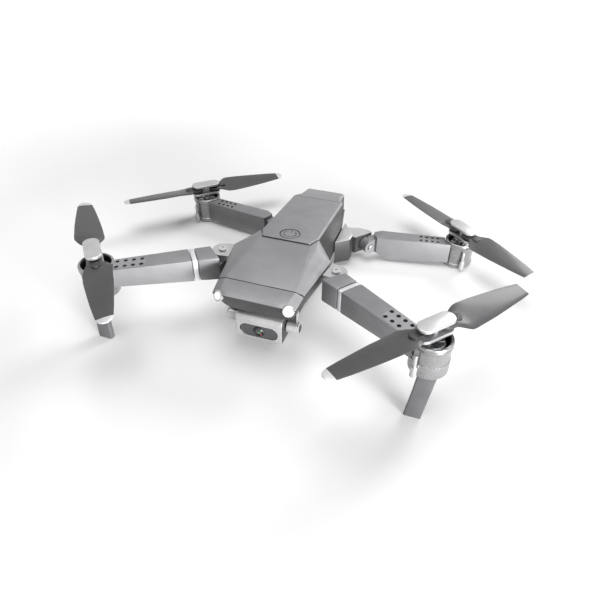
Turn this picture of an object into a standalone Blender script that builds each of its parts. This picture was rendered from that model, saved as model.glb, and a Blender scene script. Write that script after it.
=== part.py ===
"""A folding camera quadcopter, standing on its front legs and rear motor pods, arms out.

Lengths below are in millimetres and are turned into metres when a mesh is made. +Z is up and the nose points
to -Y. "left" is the craft's own left, so +X. Left-hand pieces are written out and right-hand ones mirror them.
"""

import math

import bmesh
import bpy
from mathutils import Matrix, Vector

# Overall
MM = 0.001
CENTRE_SHIFT_Y = 3.05
GAP = 0.3

# Motors and rotors
FRONT_MOTOR = (88.0, -64.4)
REAR_MOTOR = (91.0, 64.4)
FRONT_RIM_Z = 43.6
REAR_RIM_Z = 17.7
FRONT_POD_BASE_Z = 25.1
REAR_POD_BASE_Z = 0.0
POD_R = 9.0
POD_BEAD_R = 9.5
POD_MOUTH_R = 7.8
POD_FLOOR = 2.0
MOTOR_R = 6.2
SHAFT_R = 1.1
HUB_LENGTH = 20.0
HUB_WIDTH = 8.5
BLADE_PIN_R = 1.2
BLADE_PIN_OUT = 6.0
ROTOR_R = 58.0
BLADE_ROOT_THICK = 3.3
BLADE_THICK = 1.5
FRONT_BLADE_ANGLE = 49.0
REAR_BLADE_ANGLE = -41.0

# Front arms
FRONT_HINGE = (32.5, -27.0)
FRONT_ARM_TOP_Z = 43.5
FRONT_ARM_ROOT_BASE_Z = 29.4
FRONT_ARM_TIP_BASE_Z = 33.0
FRONT_EDGE_START = (28.4, -39.5)
FRONT_EDGE_END = (74.0, -66.6)
BACK_EDGE_START = (38.3, -30.3)
BACK_EDGE_END = (79.7, -58.1)
BAND_FROM_START = 11.3
BAND_WIDTH = 2.7
HINGE_PIN_R = 1.3
HINGE_HOLE_R = 1.6

# Rear arms
REAR_HINGE = (33.0, 50.0, 10.0)
REAR_HINGE_ANGLE = -40.5
REAR_ARM_TOP_Z = 17.0
REAR_ARM_ROOT_BASE_Z = 1.2
REAR_ARM_KNEE_X = 48.0
REAR_ARM_TIP_BASE_Z = 3.4

# Body
HOOD_SEAM_Y = -52.5
BATTERY_FRONT_Y = -15.0
BATTERY_FLOOR_Z = 27.9
PLATE_SLOPE = -0.0915
PLATE_FRONT_Z = 46.4
BUTTON_Y = -7.8
BUTTON_R = 5.6
BUTTON_TRAVEL = 0.5

# Camera
TILT_Y = -50.0
TILT_Z = 16.5
CAMERA_HALF_WIDTH = 13.0

COLOURS = {
    "top_grey": (0.27, 0.27, 0.275, 1.0),
    "dark_grey": (0.075, 0.075, 0.08, 1.0),
    "silver": (0.52, 0.52, 0.53, 1.0),
    "black": (0.02, 0.02, 0.022, 1.0),
    "steel": (0.62, 0.62, 0.63, 1.0),
    "clear": (0.9, 0.92, 0.95, 1.0),
    "board_green": (0.03, 0.16, 0.07, 1.0),
}


def clear_scene():
    for obj in list(bpy.data.objects):
        bpy.data.objects.remove(obj, do_unlink=True)


def material(name, metallic=0.0, roughness=0.45):
    found = bpy.data.materials.get(name)
    if found:
        return found
    made = bpy.data.materials.new(name)
    made.use_nodes = True
    shader = made.node_tree.nodes["Principled BSDF"]
    shader.inputs["Base Color"].default_value = COLOURS[name]
    shader.inputs["Metallic"].default_value = metallic
    shader.inputs["Roughness"].default_value = roughness
    made.diffuse_color = COLOURS[name]
    return made


def make(name, shape, surface, side=1, origin=(0.0, 0.0, 0.0), round_shape=False):
    """One object from (points, faces) in millimetres, mirrored in X for side -1, with its origin on a pivot."""
    points, faces = shape
    base = Vector((side * origin[0], origin[1], origin[2]))
    mesh = bpy.data.meshes.new(name)
    local = [(Vector((side * x, y, z)) - base) * MM for x, y, z in points]
    mesh.from_pydata(local, [], faces)
    work = bmesh.new()
    work.from_mesh(mesh)
    bmesh.ops.recalc_face_normals(work, faces=work.faces)
    work.to_mesh(mesh)
    work.free()
    obj = bpy.data.objects.new(name, mesh)
    obj.location = (base + Vector((0.0, CENTRE_SHIFT_Y, 0.0))) * MM
    bpy.context.scene.collection.objects.link(obj)
    if surface:
        mesh.materials.append(surface)
    if round_shape:
        mesh.polygons.foreach_set("use_smooth", [True] * len(mesh.polygons))
        mesh.set_sharp_from_angle(angle=math.radians(35))
    return obj


def soften(obj, width, segments=1):
    """Small rounded edges, as moulded pieces have."""
    bevel = obj.modifiers.new("edges", "BEVEL")
    bevel.width = width * MM
    bevel.segments = segments
    bevel.limit_method = "ANGLE"
    bevel.angle_limit = math.radians(32)
    bevel.use_clamp_overlap = True


def tool(shape, side=1):
    """A helper shape for a Boolean, which is no part of the object."""
    helper = make("helper", shape, None, side)
    helper.hide_render = True
    helper.display_type = "WIRE"
    return helper


def boolean(obj, shape, operation, side=1):
    step = obj.modifiers.new(operation.lower(), "BOOLEAN")
    step.operation = operation
    step.solver = "EXACT"
    step.object = tool(shape, side)


def cut(obj, shape, side=1):
    boolean(obj, shape, "DIFFERENCE", side)


def join(obj, shape, side=1):
    boolean(obj, shape, "UNION", side)


def loft(rings):
    """Closed rings of equally many points, joined in turn and capped at both ends."""
    count = len(rings[0])
    points = [p for ring in rings for p in ring]
    faces = [list(reversed(range(count)))]
    for level in range(len(rings) - 1):
        base = level * count
        for i in range(count):
            j = (i + 1) % count
            faces.append([base + i, base + j, base + count + j, base + count + i])
    last = (len(rings) - 1) * count
    faces.append([last + i for i in range(count)])
    return points, faces


def prism(outline, low, high):
    """A plan outline between two heights, each a number or a function of x and y."""
    under = low if callable(low) else lambda x, y: low
    over = high if callable(high) else lambda x, y: high
    return loft(
        [
            [(x, y, under(x, y)) for x, y in outline],
            [(x, y, over(x, y)) for x, y in outline],
        ]
    )


def both_halves(half):
    """A ring symmetric in X from its +X half, which runs from the front centre to the rear centre."""
    other = [(-p[0],) + tuple(p[1:]) for p in reversed(half) if p[0] != 0]
    return list(half) + other


def turned(profile, centre, axis=(0.0, 0.0, 1.0), steps=24, closed=False):
    """A profile of (radius, height) pairs turned about an axis. An open profile starts and ends on the axis."""
    direction = Vector(axis).normalized()
    frame = direction.to_track_quat("Z", "Y").to_matrix()
    points = []
    rings = []
    for radius, height in profile:
        if radius == 0:
            rings.append([len(points)])
            points.append(Vector(centre) + frame @ Vector((0, 0, height)))
            continue
        rings.append(list(range(len(points), len(points) + steps)))
        for i in range(steps):
            angle = 2 * math.pi * i / steps
            spot = Vector((radius * math.cos(angle), radius * math.sin(angle), height))
            points.append(Vector(centre) + frame @ spot)
    pairs = list(zip(rings, rings[1:]))
    if closed:
        pairs.append((rings[-1], rings[0]))
    faces = []
    for first, second in pairs:
        for i in range(steps):
            j = (i + 1) % steps
            corners = [
                first[i % len(first)],
                first[j % len(first)],
                second[j % len(second)],
                second[i % len(second)],
            ]
            faces.append(list(dict.fromkeys(corners)))
    return [tuple(p) for p in points], faces


def rod(start, end, radius, steps=20):
    """A plain round bar from one point to another."""
    first = Vector(start)
    span = Vector(end) - first
    profile = [(0, 0), (radius, 0), (radius, span.length), (0, span.length)]
    return turned(profile, start, span, steps)


def arc(centre, radius, start, end, count):
    """Points on an arc, its angles in degrees."""
    found = []
    for i in range(count):
        angle = math.radians(start + (end - start) * i / (count - 1))
        x = centre[0] + radius * math.cos(angle)
        found.append((x, centre[1] + radius * math.sin(angle)))
    return found


def stadium(centre, length, width, degrees, steps=7):
    """A bar with round ends, in plan."""
    reach = (length - width) / 2
    turn = math.radians(degrees)
    dx = reach * math.cos(turn)
    dy = reach * math.sin(turn)
    near = (centre[0] - dx, centre[1] - dy)
    far = (centre[0] + dx, centre[1] + dy)
    ends = arc(far, width / 2, degrees - 90, degrees + 90, steps)
    return ends + arc(near, width / 2, degrees + 90, degrees + 270, steps)


def along(start, end, distance):
    span = math.dist(start, end)
    share = distance / span
    x = start[0] + (end[0] - start[0]) * share
    return x, start[1] + (end[1] - start[1]) * share


def plate_z(x, y):
    return PLATE_FRONT_Z + PLATE_SLOPE * (y - BATTERY_FRONT_Y)


def build_hood():
    """The front top cover and the nose piece below its seam."""
    low = [
        (0, -52.2, 28.7),
        (20.2, -51.0, 28.9),
        (25.8, -22.5, 32.0),
        (17.4, -9.3, 32.0),
        (14.3, -15.3, 32.0),
        (0, -15.3, 32.0),
    ]
    edge = [
        (0, -52.2, 40.9),
        (23.4, -51.4, 40.6),
        (28.1, -21.0, 42.3),
        (17.3, -7.9, 44.6),
        (14.3, -15.3, 44.6),
        (0, -15.3, 44.6),
    ]
    top = [
        (0, -52.2, 42.4),
        (19.0, -52.2, 42.0),
        (18.5, -15.8, 44.9),
        (16.9, -8.6, 45.5),
        (14.3, -15.3, 45.6),
        (0, -15.3, 46.0),
    ]
    hood = make(
        "upper_shell",
        loft([both_halves(low), both_halves(edge), both_halves(top)]),
        material("top_grey"),
    )
    soften(hood, 0.35)
    inside = [(0, -50.9), (18.6, -49.4), (23.4, -24.4), (14.6, -17.0), (0, -17.0)]
    cut(hood, prism(both_halves(inside), 20.0, lambda x, y: 43.2 + 0.075 * (y + 17)))

    low = [
        (0, -58.0, 27.5),
        (14.5, -58.0, 27.5),
        (18.8, -56.6, 27.8),
        (20.0, HOOD_SEAM_Y, 28.6),
        (0, HOOD_SEAM_Y, 28.6),
    ]
    edge = [
        (0, -63.8, 39.0),
        (14.5, -63.8, 38.9),
        (22.3, -62.2, 38.4),
        (23.4, HOOD_SEAM_Y, 40.5),
        (0, HOOD_SEAM_Y, 40.9),
    ]
    top = [
        (0, -62.8, 40.6),
        (14.3, -62.8, 40.5),
        (18.6, -61.0, 40.4),
        (19.0, HOOD_SEAM_Y, 42.0),
        (0, HOOD_SEAM_Y, 42.4),
    ]
    nose = make(
        "nose_cap",
        loft([both_halves(low), both_halves(edge), both_halves(top)]),
        material("dark_grey"),
    )
    soften(nose, 0.35)
    inside = [(0, -56.6), (16.2, -56.0), (17.6, -50.0), (0, -50.0)]
    cut(nose, prism(both_halves(inside), 29.9, 38.6))
    facing = Vector((0.42, -0.83, 0.36)).normalized()
    for side, word in ((1, "left"), (-1, "right")):
        lamp = Vector((18.9, -62.6, 37.9))
        cut(nose, rod(lamp - facing * 1.4, lamp + facing * 6, 2.3), side)
        dome = [(0, 0), (1.95, 0), (1.95, 1.5), (1.5, 2.1), (0, 2.4)]
        make(
            f"headlight_{word}",
            turned(dome, lamp - facing * 1.1, facing, 20),
            material("clear", roughness=0.1),
            side,
            round_shape=True,
        )


def build_lower_shell():
    """The belly tray that carries the battery, with the pan that closes the hood from below."""
    low = [
        (0, -39.5, 9.5),
        (10.5, -39.5, 9.5),
        (13.5, -34.5, 9.5),
        (15.2, 24.0, 9.5),
        (15.2, 48.0, 11.0),
        (12.0, 57.0, 12.0),
        (0, 57.5, 12.0),
    ]
    high = [
        (0, -39.8, 27.6),
        (12.6, -39.8, 27.6),
        (15.4, -36.0, 27.6),
        (15.4, 24.0, 27.6),
        (15.3, 48.0, 27.6),
        (14.2, 60.5, 27.6),
        (0, 61.0, 27.6),
    ]
    shell = make(
        "lower_shell",
        loft([both_halves(low), both_halves(high)]),
        material("dark_grey"),
    )
    soften(shell, 0.8, 2)
    under = [
        (0, -42.8, 26.0),
        (12.2, -42.8, 26.0),
        (15.0, -37.5, 26.0),
        (15.0, -15.6, 26.0),
        (0, -15.6, 26.0),
    ]
    over = [
        (0, -51.8, 28.0),
        (19.6, -50.6, 28.3),
        (25.2, -23.4, 31.6),
        (13.8, -15.6, 31.6),
        (0, -15.6, 31.6),
    ]
    join(shell, loft([both_halves(under), both_halves(over)]))
    board = make(
        "control_board",
        prism([(-15, -46), (15, -46), (17, -24), (14, -19), (-14, -19), (-17, -24)], 33.0, 34.4),
        material("board_green"),
    )
    for x, y, width, depth, height in ((-6, -36, 9, 9, 1.8), (7, -33, 7, 5, 1.2), (5, -41, 5, 4, 2.4)):
        corners = [
            (x - width / 2, y - depth / 2),
            (x + width / 2, y - depth / 2),
            (x + width / 2, y + depth / 2),
            (x - width / 2, y + depth / 2),
        ]
        join(board, prism(corners, 34.0, 34.4 + height))


def build_battery():
    """The battery pack: case with the sloping cover, the cell inside it, and the round button on top."""
    low = [
        (0, BATTERY_FRONT_Y, BATTERY_FLOOR_Z),
        (13.5, BATTERY_FRONT_Y, BATTERY_FLOOR_Z),
        (16.4, -7.6, BATTERY_FLOOR_Z),
        (16.2, 42.0, BATTERY_FLOOR_Z),
        (14.0, 51.0, BATTERY_FLOOR_Z),
        (13.2, 61.0, BATTERY_FLOOR_Z),
        (0, 61.4, BATTERY_FLOOR_Z),
    ]
    edge = [
        (0, BATTERY_FRONT_Y, 45.3),
        (13.9, BATTERY_FRONT_Y, 45.2),
        (16.9, -7.5, 44.8),
        (16.3, 44.4, 40.0),
        (13.4, 50.6, 39.3),
        (12.6, 62.3, 36.4),
        (0, 62.8, 36.4),
    ]
    top = [
        (0, BATTERY_FRONT_Y, PLATE_FRONT_Z),
        (13.3, BATTERY_FRONT_Y, PLATE_FRONT_Z - 0.1),
        (16.1, -8.0, plate_z(0, -8.0) - 0.2),
        (15.5, 43.9, plate_z(0, 43.9) - 0.2),
        (12.4, 50.0, 40.3),
        (11.9, 61.8, 37.6),
        (0, 62.2, 37.7),
    ]
    case = make(
        "battery_case",
        loft([both_halves(low), both_halves(edge), both_halves(top)]),
        material("top_grey"),
    )
    soften(case, 0.3)
    room = [(-14.6, -12.6), (14.6, -12.6), (14.6, 40.0), (11.8, 57.0), (-11.8, 57.0), (-14.6, 40.0)]
    cut(case, prism(room, 20.0, lambda x, y: plate_z(x, y) - (2.9 if y < 30 else 4.2)))
    block = [(-14.2, -12.2), (14.2, -12.2), (14.2, 39.8), (11.4, 56.6), (-11.4, 56.6), (-14.2, 39.8)]
    cell = make(
        "battery_cell",
        prism(block, BATTERY_FLOOR_Z + 0.2, lambda x, y: plate_z(x, y) - (3.4 if y < 30 else 4.7)),
        material("black"),
    )
    soften(cell, 0.5)
    normal = Vector((0.0, -PLATE_SLOPE, 1.0)).normalized()
    spot = Vector((0.0, BUTTON_Y, plate_z(0, BUTTON_Y)))
    cut(case, rod(spot - normal * 1.7, spot + normal * 3, BUTTON_R + GAP, 32))
    disc = [(0, -1.1), (BUTTON_R, -1.1), (BUTTON_R, -0.25), (BUTTON_R - 0.3, 0.0), (0, 0.0)]
    make(
        "power_button",
        turned(disc, spot, normal, 32),
        material("top_grey"),
        origin=tuple(spot),
        round_shape=True,
    )


def build_camera():
    """The tilting camera under the nose, its two side mounts, its window and its lens."""
    profile = [
        (-44.0, 9.0),
        (-56.6, 9.0),
        (-57.6, 10.0),
        (-57.6, 19.4),
        (-56.6, 22.0),
        (-54.0, 23.9),
        (-51.0, 24.4),
        (-45.5, 24.4),
        (-44.0, 22.9),
    ]
    ends = [[(x, y, z) for y, z in profile] for x in (-CAMERA_HALF_WIDTH, CAMERA_HALF_WIDTH)]
    pivot = (0.0, TILT_Y, TILT_Z)
    housing = make("camera_housing", loft(ends), material("silver"), origin=pivot)
    soften(housing, 0.5)
    face = Vector((0.0, -57.6, 14.6))

    def window_ring(y, grow):
        flat = stadium((0.0, 0.0), 21.0 + grow, 7.4 + grow, 0.0, 9)
        return [(x, y, face.z + z) for x, z in flat]

    cut(housing, loft([window_ring(-56.4, 0.6), window_ring(-60.0, 0.6)]))
    window = make(
        "camera_window",
        loft([window_ring(-56.7, 0.0), window_ring(-57.5, 0.0)]),
        material("black", roughness=0.1),
        origin=pivot,
    )
    cut(window, rod((0, -50, face.z), (0, -60, face.z), 3.3, 24))
    cut(housing, rod((0, -54.5, face.z), (0, -60, face.z), 3.3, 24))
    lens = [(0, 0), (3.0, 0), (3.0, 2.6), (2.5, 3.1), (1.9, 2.7), (1.0, 2.9), (0, 3.0)]
    make(
        "camera_lens",
        turned(lens, (0, -54.8, face.z), (0, -1, 0), 24),
        material("black", roughness=0.1),
        origin=pivot,
        round_shape=True,
    )
    for side in (1, -1):
        join(housing, rod((12.0, TILT_Y, TILT_Z), (15.5, TILT_Y, TILT_Z), 1.5), side)
    for side, word in ((1, "left"), (-1, "right")):
        barrel = [(0, 0), (3.2, 0), (3.4, 0.3), (3.4, 6.6), (3.0, 7.0), (0, 7.0)]
        mount = make(
            f"camera_mount_{word}",
            turned(barrel, (13.5, TILT_Y, TILT_Z), (1, 0, 0), 24),
            material("silver"),
            side,
            round_shape=True,
        )
        strut = [(14.2, -50.4), (18.6, -50.4), (18.6, -46.4), (14.2, -46.4)]
        join(mount, prism(strut, TILT_Z, lambda x, y: 25.5 - 0.22 * (y + 42.8)), side)
        cut(mount, rod((12.0, TILT_Y, TILT_Z), (16.0, TILT_Y, TILT_Z), 1.85), side)


def build_front_arm(side, word):
    """Bracket and pin on the body, then the swinging arm: root, band, beam, pod with motor, light pipe and leg."""
    hinge = (FRONT_HINGE[0], FRONT_HINGE[1], FRONT_ARM_TOP_Z)
    wall = [(28.6, -20.4), (26.8, -32.2)]
    ear = [wall[0]] + arc(FRONT_HINGE, 6.0, 81, -99, 11) + [wall[1]]
    bracket = make(f"front_bracket_{word}", prism(ear, 26.0, 30.2), material("silver"), side)
    join(bracket, prism(ear, 36.6, 40.4), side)
    plate = [wall[0], (29.8, -20.6), (28.0, -32.4), wall[1]]
    join(bracket, prism(plate, 26.4, 40.0), side)
    post = (FRONT_HINGE[0], FRONT_HINGE[1])
    cut(bracket, rod((*post, 20.0), (*post, 50.0), HINGE_HOLE_R), side)
    pin = [(0, 26.0), (1.3, 26.0), (1.3, 40.7), (2.3, 40.7), (2.3, 41.4), (1.9, 41.8), (0, 41.8)]
    make(
        f"front_hinge_pin_{word}",
        turned(pin, (*post, 0.0), steps=20),
        material("steel", 1.0, 0.3),
        side,
        round_shape=True,
    )

    def base_z(x, y):
        share = math.dist((x, y), FRONT_EDGE_START) / math.dist(FRONT_EDGE_END, FRONT_EDGE_START)
        return FRONT_ARM_ROOT_BASE_Z + (FRONT_ARM_TIP_BASE_Z - FRONT_ARM_ROOT_BASE_Z) * min(share, 1.0)

    def across(distance):
        front = along(FRONT_EDGE_START, FRONT_EDGE_END, distance)
        return front, along(BACK_EDGE_START, BACK_EDGE_END, distance - 2.3)

    cut_front, cut_back = across(BAND_FROM_START)
    root = make(
        f"front_arm_root_{word}",
        prism([FRONT_EDGE_START, cut_front, cut_back, BACK_EDGE_START], base_z, FRONT_ARM_TOP_Z),
        material("dark_grey"),
        side,
        hinge,
    )
    soften(root, 0.7, 2)
    tongue = stadium((33.2, -32.0), 17.0, 7.0, -83.0)
    join(root, prism(tongue, 30.5, 36.3), side)
    cut(root, rod((*post, 20.0), (*post, 50.0), HINGE_HOLE_R), side)

    band_front, band_back = across(BAND_FROM_START + GAP)
    end_front, end_back = across(BAND_FROM_START + GAP + BAND_WIDTH)
    band = make(
        f"front_arm_band_{word}",
        prism([band_front, end_front, end_back, band_back], base_z, FRONT_ARM_TOP_Z),
        material("silver"),
        side,
        hinge,
    )
    soften(band, 0.6, 2)
    start_front, start_back = across(BAND_FROM_START + 2 * GAP + BAND_WIDTH)
    collar = arc(FRONT_MOTOR, POD_BEAD_R + GAP, 216.7, 142.7, 7)
    beam = make(
        f"front_arm_beam_{word}",
        prism([start_front] + collar + [start_back], base_z, FRONT_ARM_TOP_Z),
        material("dark_grey"),
        side,
        hinge,
    )
    soften(beam, 0.7, 2)
    build_pod("front", side, word, FRONT_MOTOR, FRONT_RIM_Z, FRONT_POD_BASE_Z, hinge, 240.0)
    foot = [(81.5, -75.5, 0.0), (89.9, -75.5, 0.0), (89.9, -72.3, 0.0), (81.5, -72.3, 0.0)]
    knee = [(84.4, -72.0, 14.0), (93.0, -71.4, 14.0), (93.0, -68.2, 14.0), (84.4, -68.8, 14.0)]
    top = [(84.8, -70.8, 24.8), (93.6, -70.2, 24.8), (93.6, -63.4, 24.8), (84.8, -64.0, 24.8)]
    leg = make(f"landing_leg_{word}", loft([foot, knee, top]), material("dark_grey"), side, hinge)
    soften(leg, 0.6, 2)


def build_pod(end, side, word, centre, rim_z, base_z, pivot, pipe_angle):
    """The open motor cup at an arm's end with the motor in it and the light pipe on its side."""
    floor = base_z + POD_FLOOR
    cup = [
        (0, base_z),
        (8.2, base_z),
        (POD_R, base_z + 0.9),
        (POD_R, rim_z - 3.4),
        (POD_BEAD_R, rim_z - 3.0),
        (POD_BEAD_R, rim_z - 2.2),
        (9.15, rim_z - 1.85),
        (POD_BEAD_R, rim_z - 1.5),
        (POD_BEAD_R, rim_z - 0.5),
        (POD_R, rim_z),
        (POD_MOUTH_R, rim_z),
        (POD_MOUTH_R, floor),
        (0, floor),
    ]
    make(
        f"{end}_motor_pod_{word}",
        turned(cup, (*centre, 0.0), steps=28),
        material("silver"),
        side,
        pivot,
        True,
    )
    can = [
        (0, floor + GAP),
        (MOTOR_R, floor + GAP),
        (MOTOR_R, rim_z - 2.6),
        (MOTOR_R - 0.7, rim_z - 1.8),
        (2.2, rim_z - 1.8),
        (2.2, rim_z - 0.8),
        (SHAFT_R, rim_z - 0.8),
        (SHAFT_R, rim_z + 1.1),
        (0, rim_z + 1.1),
    ]
    make(
        f"{end}_motor_{word}",
        turned(can, (*centre, 0.0), steps=24),
        material("steel", 1.0, 0.3),
        side,
        (*centre, rim_z),
        True,
    )
    turn = math.radians(pipe_angle)
    out = POD_R + GAP + 1.6
    spot = (centre[0] + out * math.cos(turn), centre[1] + out * math.sin(turn), base_z + 1.0)
    pipe = [(0, 0), (1.2, 0), (1.6, 0.5), (1.6, 6.2), (0.9, 6.8), (0.9, 12.6), (0, 13.0)]
    make(
        f"{end}_light_pipe_{word}",
        turned(pipe, spot, steps=16),
        material("silver"),
        side,
        pivot,
        True,
    )


def build_rear_arm(side, word):
    """Bracket and screw on the body, then the swinging rear arm with its pod."""
    turn = math.radians(REAR_HINGE_ANGLE)
    axis = Vector((math.cos(turn), math.sin(turn), 0.0))
    lateral = Vector((-axis.y, axis.x, 0.0))
    pivot = Vector(REAR_HINGE)

    def spot(t, s):
        found = pivot + axis * t + lateral * s
        return found.x, found.y

    block = [(15.8, 31.0), (24.3, 37.6), (24.5, 43.9), (23.0, 46.0), (15.8, 57.0)]
    bracket = make(
        f"rear_bracket_{word}",
        prism(block, 3.2, 19.6),
        material("silver"),
        side,
    )
    soften(bracket, 0.6, 2)
    lug = [(16.4, 47.0), spot(-2.8, -7.5), spot(-2.8, 5.2), spot(-6.0, 5.2), (25.0, 58.6), (16.4, 56.4)]
    join(bracket, prism(lug, 4.4, 16.2), side)
    start = pivot - axis * 6.4
    cut(bracket, rod(start, pivot + axis * 8, HINGE_HOLE_R), side)
    screw = [(0, -6.1), (1.3, -6.1), (1.3, 4.5), (2.2, 4.5), (2.2, 5.2), (1.8, 5.5), (0, 5.5)]
    make(
        f"rear_hinge_pin_{word}",
        turned(screw, pivot, axis, 20),
        material("steel", 1.0, 0.3),
        side,
        round_shape=True,
    )

    def base_z(x, y):
        if x < REAR_ARM_KNEE_X:
            return REAR_ARM_ROOT_BASE_Z + 0.55 * (REAR_ARM_KNEE_X - x)
        share = (x - REAR_ARM_KNEE_X) / (REAR_MOTOR[0] - REAR_ARM_KNEE_X)
        return REAR_ARM_ROOT_BASE_Z + (REAR_ARM_TIP_BASE_Z - REAR_ARM_ROOT_BASE_Z) * min(share, 1.0)

    collar = arc(REAR_MOTOR, POD_BEAD_R + GAP, 239.0, 182.3, 8)
    beam = make(
        f"rear_arm_beam_{word}",
        prism(
            [(37.6, 51.4), (39.6, 48.4), (REAR_ARM_KNEE_X, 49.5)]
            + collar
            + [(REAR_ARM_KNEE_X, 59.8), (40.5, 58.9), (36.2, 55.6)],
            base_z,
            REAR_ARM_TOP_Z,
        ),
        material("dark_grey"),
        side,
        REAR_HINGE,
    )
    soften(beam, 0.7, 2)
    neck = [spot(-2.3, 2.2), spot(3.9, -2.0), spot(3.9, 3.4), (42.0, 50.6), (42.0, 57.2), (35.6, 55.7)]
    join(beam, prism(neck, 6.0, 14.0), side)
    join(beam, rod(pivot - axis * 2.4, pivot + axis * 4.2, 4.6, 24), side)
    cut(beam, rod(pivot - axis * 8, pivot + axis * 8, HINGE_HOLE_R), side)
    build_pod("rear", side, word, REAR_MOTOR, REAR_RIM_Z, REAR_POD_BASE_Z, REAR_HINGE, 290.0)


def blade_shape(centre, degrees, root_z, handed):
    """One blade: a thick root round its pin, a wide shoulder, then a twisting taper to a rounded tip."""
    stations = [
        (2.0, -1.2, 1.2, 1.0, 0.0),
        (3.0, -2.9, 2.9, 1.0, 0.0),
        (5.0, -4.0, 4.0, 1.0, 0.0),
        (9.2, -4.1, 4.3, 1.0, 0.0),
        (12.0, -5.6, 5.4, 0.75, 5.0),
        (16.0, -7.5, 6.5, 0.45, 10.8),
        (21.0, -7.6, 7.2, 0.42, 12.0),
        (30.0, -6.9, 6.9, 0.38, 10.4),
        (41.0, -5.5, 6.0, 0.34, 8.6),
        (51.0, -4.2, 5.0, 0.30, 6.6),
        (56.0, -3.0, 4.0, 0.26, 5.0),
        (ROTOR_R, -1.0, 2.0, 0.20, 5.0),
    ]
    turn = math.radians(degrees)
    middle = root_z + BLADE_ROOT_THICK / 2
    rings = []
    for out, low, high, thick, pitch in stations:
        half = BLADE_ROOT_THICK / 2 * thick
        edge = half * 0.35
        slope = math.tan(math.radians(pitch)) * handed
        chord = high - low
        section = [
            (low, edge),
            (low + 0.25 * chord, half),
            (low + 0.7 * chord, half),
            (high, edge),
            (high, -edge),
            (low + 0.7 * chord, -half),
            (low + 0.25 * chord, -half),
            (low, -edge),
        ]
        ring = []
        for v, w in section:
            x = centre[0] + out * math.cos(turn) - v * math.sin(turn)
            y = centre[1] + out * math.sin(turn) + v * math.cos(turn)
            ring.append((x, y, middle + w - slope * v))
        rings.append(ring)
    return loft(rings)


def build_rotor(end, side, word, centre, rim_z, degrees):
    """The folding two-blade rotor: hub bar with its two pins, a cap over them and a blade on each pin."""
    base = rim_z + 1.6
    top = (*centre, rim_z)
    bar = make(
        f"{end}_hub_base_{word}",
        prism(stadium(centre, HUB_LENGTH, HUB_WIDTH, degrees), base, base + 1.8),
        material("silver"),
        side,
        top,
    )
    soften(bar, 0.35)
    join(bar, rod((*centre, base + 1.0), (*centre, base + 5.4), 1.6, 16), side)
    cap = make(
        f"{end}_hub_cap_{word}",
        prism(stadium(centre, HUB_LENGTH, HUB_WIDTH, degrees, 9), base + 5.9, base + 7.6),
        material("silver"),
        side,
        top,
    )
    soften(cap, 0.4, 2)
    for letter, heading in (("a", degrees), ("b", degrees + 180.0)):
        turn = math.radians(heading)
        x = centre[0] + BLADE_PIN_OUT * math.cos(turn)
        y = centre[1] + BLADE_PIN_OUT * math.sin(turn)
        join(bar, rod((x, y, base + 1.0), (x, y, base + 5.6), BLADE_PIN_R, 16), side)
        blade = make(
            f"{end}_blade_{letter}_{word}",
            blade_shape(centre, heading, base + 2.1, -side),
            material("black"),
            side,
            (x, y, base + 3.75),
            True,
        )
        cut(blade, rod((x, y, base - 2), (x, y, base + 9), BLADE_PIN_R + GAP, 16), side)


def build():
    clear_scene()
    build_hood()
    build_lower_shell()
    build_battery()
    build_camera()
    for side, word in ((1, "left"), (-1, "right")):
        build_front_arm(side, word)
        build_rear_arm(side, word)
        build_rotor("front", side, word, FRONT_MOTOR, FRONT_RIM_Z, FRONT_BLADE_ANGLE)
        build_rotor("rear", side, word, REAR_MOTOR, REAR_RIM_Z, REAR_BLADE_ANGLE)


build()
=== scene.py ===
# %% [markdown]
# # A folding camera quadcopter
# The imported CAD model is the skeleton: it says where every piece is and how it moves. Here each piece that
# shows is made again with finer edges, real openings and small fittings, then given its real finish.

# %% Load the frame
import math

import bmesh
import bpy
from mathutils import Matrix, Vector


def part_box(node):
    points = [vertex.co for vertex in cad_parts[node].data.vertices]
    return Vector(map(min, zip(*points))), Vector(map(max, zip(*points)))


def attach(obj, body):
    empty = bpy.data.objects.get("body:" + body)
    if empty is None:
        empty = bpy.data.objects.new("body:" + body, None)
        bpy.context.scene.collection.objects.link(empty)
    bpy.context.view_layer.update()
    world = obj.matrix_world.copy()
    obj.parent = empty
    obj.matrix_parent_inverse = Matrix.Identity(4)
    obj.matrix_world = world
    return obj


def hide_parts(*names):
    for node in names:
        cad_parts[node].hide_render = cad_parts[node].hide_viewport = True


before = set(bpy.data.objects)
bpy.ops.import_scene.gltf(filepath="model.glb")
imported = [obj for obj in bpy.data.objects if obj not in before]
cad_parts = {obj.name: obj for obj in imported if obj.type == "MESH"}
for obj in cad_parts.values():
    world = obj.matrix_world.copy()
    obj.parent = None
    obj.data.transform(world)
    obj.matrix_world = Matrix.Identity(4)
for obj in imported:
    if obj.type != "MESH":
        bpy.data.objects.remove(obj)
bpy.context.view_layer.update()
MM = 0.001

# %% [markdown]
# ## Where things are
# The frame gives each node's box, so the motor axes, rims and pivots are read from it. Lengths are then
# written in millimetres from the craft's own middle line, with the nose towards -Y.


# %% Read the main positions
def middle(node):
    low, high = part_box(node)
    return [(a + b) / 2 / MM for a, b in zip(low, high)]


def height(node, end):
    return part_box(node)[end][2] / MM


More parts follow.
